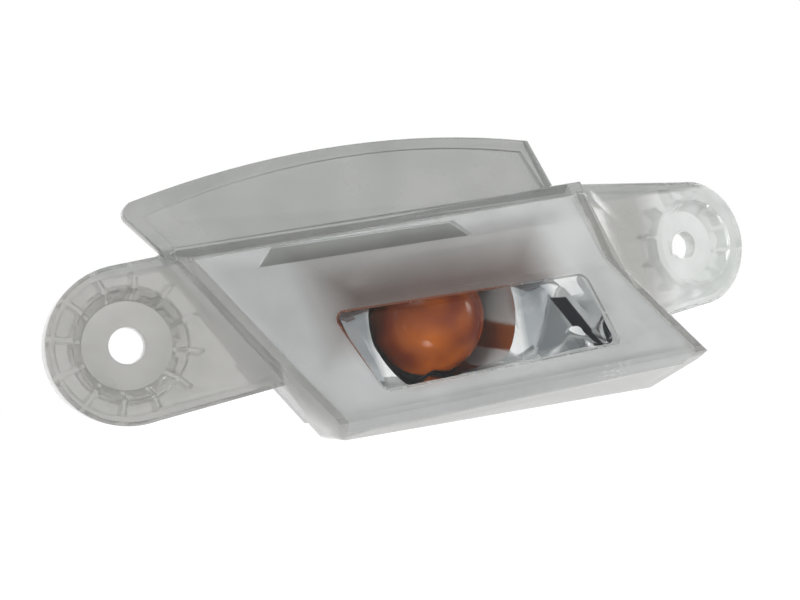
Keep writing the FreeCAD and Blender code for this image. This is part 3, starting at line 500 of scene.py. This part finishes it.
shape.to_mesh(lens.data)
shape.free()


def tool_lines(tree, place, period):
    """Fine level lines, a period in metres apart, that a milled tool leaves on the moulding."""
    angle_per_scaled_metre = 20.0
    wave = tree.nodes.new("ShaderNodeTexWave")
    wave.bands_direction = "Z"
    wave.inputs["Scale"].default_value = math.tau / (angle_per_scaled_metre * period)
    wave.inputs["Distortion"].default_value = 6.0
    wave.inputs["Detail"].default_value = 2.0
    tree.links.new(place, wave.inputs["Vector"])
    return wave.outputs["Fac"]


acrylic_index = 1.49
nose_corners = [(-0.0550, 0.0136), (0.0340, 0.0156), (0.0455, -0.0260), (-0.0315, -0.0250)]
slot_corners = [(-0.0390, 0.0137), (0.0018, 0.0137), (0.0056, 0.0100), (-0.0428, 0.0100)]
painted_shade_corners = [(-0.0330, 0.0095), (0.0200, 0.0090), (0.0270, -0.0080), (-0.0320, -0.0080)]
scuff_corners = [(0.0225, -0.0222), (0.0285, -0.0226), (0.0295, -0.0262), (0.0230, -0.0262)]
etch_fade = 0.0004
slot_fade = 0.0003
painted_shade_fade = (0.0080, 0.0040)
scuff_fade = (0.0015, 0.0010)
right_ear_start = 0.052
right_ear_end = 0.060
band_start = 0.0128
band_end = 0.0136
tool_line_period = 0.0005
left_clear = (0.54, 0.535, 0.52)
# Painted light: the right ear is drawn lighter than the rest of the clear plastic.
right_ear_painted_light = (0.80, 0.815, 0.805)
band_clear = (0.48, 0.487, 0.476)
flow_mark = (0.82, 0.83, 0.82)
# Painted shade: the slot is drawn darker, as shade in a recess.
painted_slot_shade = (0.50, 0.50, 0.48)
# Painted shade: the etched skin over the bulb is drawn darker and redder, standing for the dark inside and
# the amber bulb behind it.
painted_shade_over_bulb = (0.36, 0.29, 0.27)
scuff_white = (0.93, 0.94, 0.93)

lens_finish, tree, shader, place = new_finish("etched_lens")
shader.inputs["Transmission Weight"].default_value = 0.65
shader.inputs["IOR"].default_value = acrylic_index
etched = field(tree, place, nose_corners, etch_fade)
in_slot = field(tree, place, slot_corners, slot_fade)
over_bulb = field(tree, place, painted_shade_corners, *painted_shade_fade)
along = axis_of(tree, place, "X")
at_right_ear = spread(tree, along, noise_low, noise_high, right_ear_start, right_ear_end)
in_band = spread(tree, axis_of(tree, place, "Z"), 0.0, 1.0, band_start, band_end)
flow = spread(tree, mottle(tree, place, 0.016), 0.0, 1.0)
scratches = spread(tree, mottle(tree, place, 0.0011, 4.0), 0.0, 1.0, 0.50, 0.58)
scuffed = joined(tree, "MULTIPLY", field(tree, place, scuff_corners, *scuff_fade), scratches)
# The right ear's lighter tone is painted light.
clear_colour = tint(tree, at_right_ear, left_clear, right_ear_painted_light)
clear_colour = blended(tree, "MIX", in_band, clear_colour, band_clear)
clear_colour = blended(tree, "MULTIPLY", flow, clear_colour, flow_mark)
etched_colour = tint(tree, mottle(tree, place, 0.010), (0.63, 0.645, 0.64), (0.72, 0.735, 0.73))
colour = blended(tree, "MIX", etched, clear_colour, etched_colour)
# Painted shade darkens the slot.
colour = blended(tree, "MULTIPLY", in_slot, colour, painted_slot_shade)
# Painted shade darkens and reddens the etched skin over the bulb.
colour = blended(tree, "MULTIPLY", over_bulb, colour, painted_shade_over_bulb)
colour = blended(tree, "MIX", scuffed, colour, scuff_white)
tree.links.new(colour, shader.inputs["Base Color"])
tree.links.new(spread(tree, etched, 0.06, 0.40, 0.0, 1.0), shader.inputs["Roughness"])
lines = joined(tree, "MULTIPLY", tool_lines(tree, place, tool_line_period), over_bulb)
relief(tree, shader, lines, 0.00003, 0.5)
lens.data.materials.append(lens_finish)

window_finish, tree, shader, place = new_finish("polished_window")
shader.inputs["Transmission Weight"].default_value = 1.0
shader.inputs["IOR"].default_value = acrylic_index
shader.inputs["Specular IOR Level"].default_value = 0.2
window_colour = tint(tree, mottle(tree, place, 0.006), (0.93, 0.945, 0.94), (0.97, 0.975, 0.97))
tree.links.new(window_colour, shader.inputs["Base Color"])
tree.links.new(spread(tree, mottle(tree, place, 0.002), 0.01, 0.03), shader.inputs["Roughness"])
lens.data.materials.append(window_finish)

# Painted reflection and shade on the window's rim: dark amber beside the bulb, dark grey past it, lighter at
# the bottom.
rim_amber_reflection = (0.26, 0.11, 0.07)
rim_painted_shade = (0.32, 0.32, 0.32)
rim_painted_light = (0.50, 0.51, 0.50)
bulb_end = (0.006, 0.016)
bottom_end = (-0.0160, -0.0100)
edge_finish, tree, shader, place = new_finish("window_edge")
shader.inputs["Transmission Weight"].default_value = 0.5
shader.inputs["IOR"].default_value = acrylic_index
past_bulb = spread(tree, axis_of(tree, place, "X"), noise_low, noise_high, *bulb_end)
low_edge = spread(tree, axis_of(tree, place, "Z"), 1.0, 0.0, *bottom_end)
edge_colour = tint(tree, past_bulb, rim_amber_reflection, rim_painted_shade)
edge_colour = blended(tree, "MIX", low_edge, edge_colour, rim_painted_light)
tree.links.new(edge_colour, shader.inputs["Base Color"])
tree.links.new(spread(tree, mottle(tree, place, 0.002), 0.15, 0.30), shader.inputs["Roughness"])
lens.data.materials.append(edge_finish)


# Stage: a pale floor well below the lamp, white to the eye, that still takes the lamp's shadow.
# Two soft lamps and a plain world light it, and mirrors and glass see a room that is darker above the front.

floor_drop = 0.07
floor_level = cad_low.z - floor_drop
floor_reach = 4.0
floor_shape = bmesh.new()
bmesh.ops.create_grid(floor_shape, x_segments=1, y_segments=1, size=floor_reach)
bmesh.ops.translate(floor_shape, verts=floor_shape.verts, vec=(0, 0, floor_level))
floor = put_in_scene(floor_shape, "floor")


def seen_ray(tree):
    """One for rays from the eye, a mirror or a glass, and zero for the rays that only light things."""
    path = tree.nodes.new("ShaderNodeLightPath")
    seen = path.outputs["Is Camera Ray"]
    for name in ("Is Glossy Ray", "Is Transmission Ray"):
        seen = joined(tree, "MAXIMUM", seen, path.outputs[name])
    return seen


def show_by(tree, mask, plain, seen, ending):
    """Show the seen shader where the mask is one and the plain shader elsewhere."""
    blend = tree.nodes.new("ShaderNodeMixShader")
    tree.links.new(mask, blend.inputs["Fac"])
    tree.links.new(plain, blend.inputs[1])
    tree.links.new(seen, blend.inputs[2])
    tree.links.new(blend.outputs["Shader"], tree.nodes[ending].inputs["Surface"])


floor_finish, tree, shader, place = new_finish("pale_floor")
shader.inputs["Base Color"].default_value = (0.9, 0.9, 0.9, 1.0)
shader.inputs["Roughness"].default_value = 0.9
glow = tree.nodes.new("ShaderNodeEmission")
glow.inputs["Strength"].default_value = 1.25
glow_share = joined(tree, "MULTIPLY", seen_ray(tree), 0.75)
show_by(tree, glow_share, shader.outputs["BSDF"], glow.outputs["Emission"], "Material Output")
floor.data.materials.append(floor_finish)

white = (1.0, 1.0, 1.0)
room_shade = (0.20, 0.21, 0.22)
above_front = (0.0, -0.6, 0.8)
world = bpy.data.worlds.new("studio")
bpy.context.scene.world = world
world.use_nodes = True
tree = world.node_tree
light = tree.nodes["Background"]
light.inputs["Color"].default_value = (*white, 1.0)
light.inputs["Strength"].default_value = 0.55
room = tree.nodes.new("ShaderNodeBackground")
room.inputs["Strength"].default_value = 1.0
aimed = tree.nodes.new("ShaderNodeTexCoord").outputs["Generated"]
brightness = spread(tree, distance_along(tree, aimed, above_front), noise_low, noise_high, 1.0, 0.1)
room_colour = tint(tree, brightness, room_shade, white)
eye_ray = tree.nodes.new("ShaderNodeLightPath").outputs["Is Camera Ray"]
room_colour = blended(tree, "MIX", eye_ray, room_colour, white)
tree.links.new(room_colour, room.inputs["Color"])
show_by(tree, seen_ray(tree), light.outputs["Background"], room.outputs["Background"], "World Output")


def soft_lamp(name, where, size, power):
    """A square lamp that faces the object, with its size in metres and its power in watts."""
    lamp_data = bpy.data.lights.new(name, "AREA")
    lamp_data.size = size
    lamp_data.energy = power
    lamp = bpy.data.objects.new(name, lamp_data)
    lamp.location = where
    lamp.rotation_euler = Vector(where).to_track_quat("Z", "Y").to_euler()
    bpy.context.scene.collection.objects.link(lamp)


soft_lamp("key_lamp", (-0.45, -0.55, 0.75), 0.28, 5.0)
soft_lamp("fill_lamp", (0.85, -0.25, 0.05), 0.35, 2.5)


# Camera: close in front of the lamp and to its left, almost level.
# It is rolled, so that the right ear rises in the picture.

yaw = math.radians(25.2)
pitch = math.radians(-0.8)
roll = math.radians(10.7)
aim = Vector((-0.0090, 0.0, -0.0007))
distance = 0.2162
backward = Vector((-math.sin(yaw) * math.cos(pitch), -math.cos(yaw) * math.cos(pitch), math.sin(pitch)))
level_right = Vector((0, 0, 1)).cross(backward).normalized()
level_up = backward.cross(level_right)
right = level_right * math.cos(roll) - level_up * math.sin(roll)
up = level_right * math.sin(roll) + level_up * math.cos(roll)
camera_data = bpy.data.cameras.new("camera")
camera_data.lens = 45.0
camera_data.sensor_width = 36.0
camera_data.clip_start = 0.01
camera = bpy.data.objects.new("camera", camera_data)
turn = Matrix((right, up, backward)).transposed().to_4x4()
camera.matrix_world = Matrix.Translation(aim + backward * distance) @ turn
bpy.context.scene.collection.objects.link(camera)
bpy.context.scene.camera = camera
bpy.context.scene.view_settings.view_transform = "Standard"
